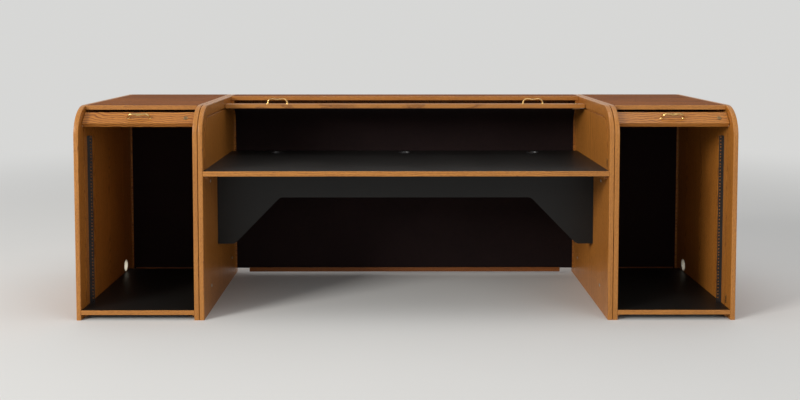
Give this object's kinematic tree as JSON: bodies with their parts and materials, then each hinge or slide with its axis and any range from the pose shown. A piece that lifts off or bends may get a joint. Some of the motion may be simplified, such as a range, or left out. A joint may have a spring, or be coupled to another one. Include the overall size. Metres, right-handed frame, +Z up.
{
  "type": "tambour desk",
  "caption": "Wide oak desk with a black worktop between two rack pedestals; rounded sides carry tambours that roll down over the worktop and over each pedestal.",
  "frame": {"origin": "on the floor under the middle of the desk's overall box", "axes": "+Z up, +X to the right of someone sitting at the desk, +Y from the open front to the back"},
  "size_m": [2.89, 0.865, 0.938],
  "materials": {
    "oak": "satin lacquered honey oak veneer",
    "oak_edge": "satin lacquered solid oak",
    "black_laminate": "fine-textured black laminate on board",
    "brass": "polished, lacquered",
    "rack_steel": "black powder coat",
    "canvas": "black plain-weave cotton backing",
    "nylon": "natural nylon",
    "black_plastic": "fine satin",
    "lock_nickel": "brushed brass-toned nickel",
    "zinc_steel": "zinc plated"
  },
  "bodies": {
    "root": {"left_outer_side": "oak", "left_inner_side": "oak", "centre_left_side": "oak", "centre_right_side": "oak", "right_inner_side": "oak", "right_outer_side": "oak", "left_top": "oak", "centre_top": "oak", "right_top": "oak", "left_back": "oak", "centre_back": "oak", "right_back": "oak", "left_edge_bands": "oak_edge", "centre_edge_bands": "oak_edge", "right_edge_bands": "oak_edge", "top_front_edges": "oak_edge", "base_front_edges": "oak_edge", "worktop_front_edge": "oak_edge", "left_base": "black_laminate", "right_base": "black_laminate", "worktop": "black_laminate", "modesty_panel": "black_laminate", "worktop_grommets": "black_plastic", "cable_hole_sleeves": "nylon", "cleats": "oak", "unit_connectors": "zinc_steel", "rack_rail_screws": "zinc_steel", "left_rack_rails": "rack_steel", "right_rack_rails": "rack_steel", "strike_plates": "brass", "left_slats": "oak", "left_canvas": "canvas", "centre_slats": "oak", "centre_canvas": "canvas", "right_slats": "oak", "right_canvas": "canvas"},
    "left_carriage": {"left_guide_shoes": "nylon"},
    "left_rail": {"left_lead_rail": "oak", "left_pull": "brass", "left_lock_case": "lock_nickel"},
    "left_tail": {"left_tail_batten": "oak"},
    "left_plug": {"left_lock_plug": "lock_nickel"},
    "left_bolt": {"left_lock_bolt": "zinc_steel"},
    "right_carriage": {"right_guide_shoes": "nylon"},
    "right_rail": {"right_lead_rail": "oak", "right_pull": "brass", "right_lock_case": "lock_nickel"},
    "right_tail": {"right_tail_batten": "oak"},
    "right_plug": {"right_lock_plug": "lock_nickel"},
    "right_bolt": {"right_lock_bolt": "zinc_steel"},
    "centre_run": {"centre_run_slats": "oak"},
    "centre_roll": {"centre_nose_slat": "oak"},
    "centre_rail": {"centre_lead_rail": "oak", "centre_pulls": "brass", "centre_lock_case": "lock_nickel"},
    "centre_tail": {"centre_tail_batten": "oak"},
    "centre_plug": {"centre_lock_plug": "lock_nickel"},
    "centre_bolt": {"centre_lock_bolt": "zinc_steel"}
  },
  "joints": [
    {"name": "left_tambour_slide", "type": "slide", "parent": "root", "child": "left_carriage", "axis": [0, 0, -1], "range_m": [0, 0.801], "deforming": ["left_slats", "left_canvas"]},
    {"name": "left_rail_tilt", "type": "hinge", "parent": "left_carriage", "child": "left_rail", "pos_m": [0, -0.3685, 0.853], "axis": [1, 0, 0], "range_deg": [0, 46]},
    {"name": "left_tail_lift", "type": "slide", "parent": "root", "child": "left_tail", "axis": [0, 0, 1], "range_m": [0, 0.7]},
    {"name": "left_key_turn", "type": "hinge", "parent": "left_rail", "child": "left_plug", "pos_m": [-0.971, -0.35922, 0.87794], "axis": [0, -0.6947, 0.7193], "range_deg": [0, 92]},
    {"name": "left_bolt_throw", "type": "slide", "parent": "left_rail", "child": "left_bolt", "axis": [1, 0, 0], "range_m": [0, 0.00495]},
    {"name": "right_tambour_slide", "type": "slide", "parent": "root", "child": "right_carriage", "axis": [0, 0, -1], "range_m": [0, 0.801], "deforming": ["right_slats", "right_canvas"]},
    {"name": "right_rail_tilt", "type": "hinge", "parent": "right_carriage", "child": "right_rail", "pos_m": [0, -0.3685, 0.853], "axis": [1, 0, 0], "range_deg": [0, 46]},
    {"name": "right_tail_lift", "type": "slide", "parent": "root", "child": "right_tail", "axis": [0, 0, 1], "range_m": [0, 0.7]},
    {"name": "right_key_turn", "type": "hinge", "parent": "right_rail", "child": "right_plug", "pos_m": [1.382, -0.35922, 0.87794], "axis": [0, -0.6947, 0.7193], "range_deg": [0, 92]},
    {"name": "right_bolt_throw", "type": "slide", "parent": "right_rail", "child": "right_bolt", "axis": [1, 0, 0], "range_m": [0, 0.00495]},
    {"name": "centre_tambour_slide", "type": "slide", "parent": "root", "child": "centre_run", "axis": [0, -1, 0], "range_m": [0, 0.476], "deforming": ["centre_slats", "centre_canvas"]},
    {"name": "centre_rail_roll", "type": "hinge", "parent": "centre_run", "child": "centre_roll", "pos_m": [0, 0.1735, 0.808], "axis": [1, 0, 0], "range_deg": [0, 90]},
    {"name": "centre_rail_drop", "type": "slide", "parent": "centre_roll", "child": "centre_rail", "axis": [0, -1, 0], "range_m": [0, 0.078]},
    {"name": "centre_tail_lift", "type": "slide", "parent": "root", "child": "centre_tail", "axis": [0, 0, 1], "range_m": [0, 0.66]},
    {"name": "centre_key_turn", "type": "hinge", "parent": "centre_rail", "child": "centre_plug", "pos_m": [0.843, 0.1325, 0.9], "axis": [0, 0, 1], "range_deg": [0, 92]},
    {"name": "centre_bolt_throw", "type": "slide", "parent": "centre_rail", "child": "centre_bolt", "axis": [1, 0, 0], "range_m": [0, 0.00495]}
  ],
  "couplings": [
    {"joint": "left_rail_tilt", "follows": "left_tambour_slide", "rad_per_m": 1.0023},
    {"joint": "left_tail_lift", "follows": "left_tambour_slide", "ratio": 0.87391},
    {"joint": "left_key_turn", "follows": "left_bolt_throw", "rad_per_m": 317.33},
    {"joint": "right_rail_tilt", "follows": "right_tambour_slide", "rad_per_m": 1.0023},
    {"joint": "right_tail_lift", "follows": "right_tambour_slide", "ratio": 0.87391},
    {"joint": "right_key_turn", "follows": "right_bolt_throw", "rad_per_m": 317.33},
    {"joint": "centre_rail_roll", "follows": "centre_tambour_slide", "rad_per_m": 3.3},
    {"joint": "centre_rail_drop", "follows": "centre_tambour_slide", "ratio": 0.16387},
    {"joint": "centre_tail_lift", "follows": "centre_tambour_slide", "ratio": 1.3866},
    {"joint": "centre_key_turn", "follows": "centre_bolt_throw", "rad_per_m": 317.33}
  ]
}
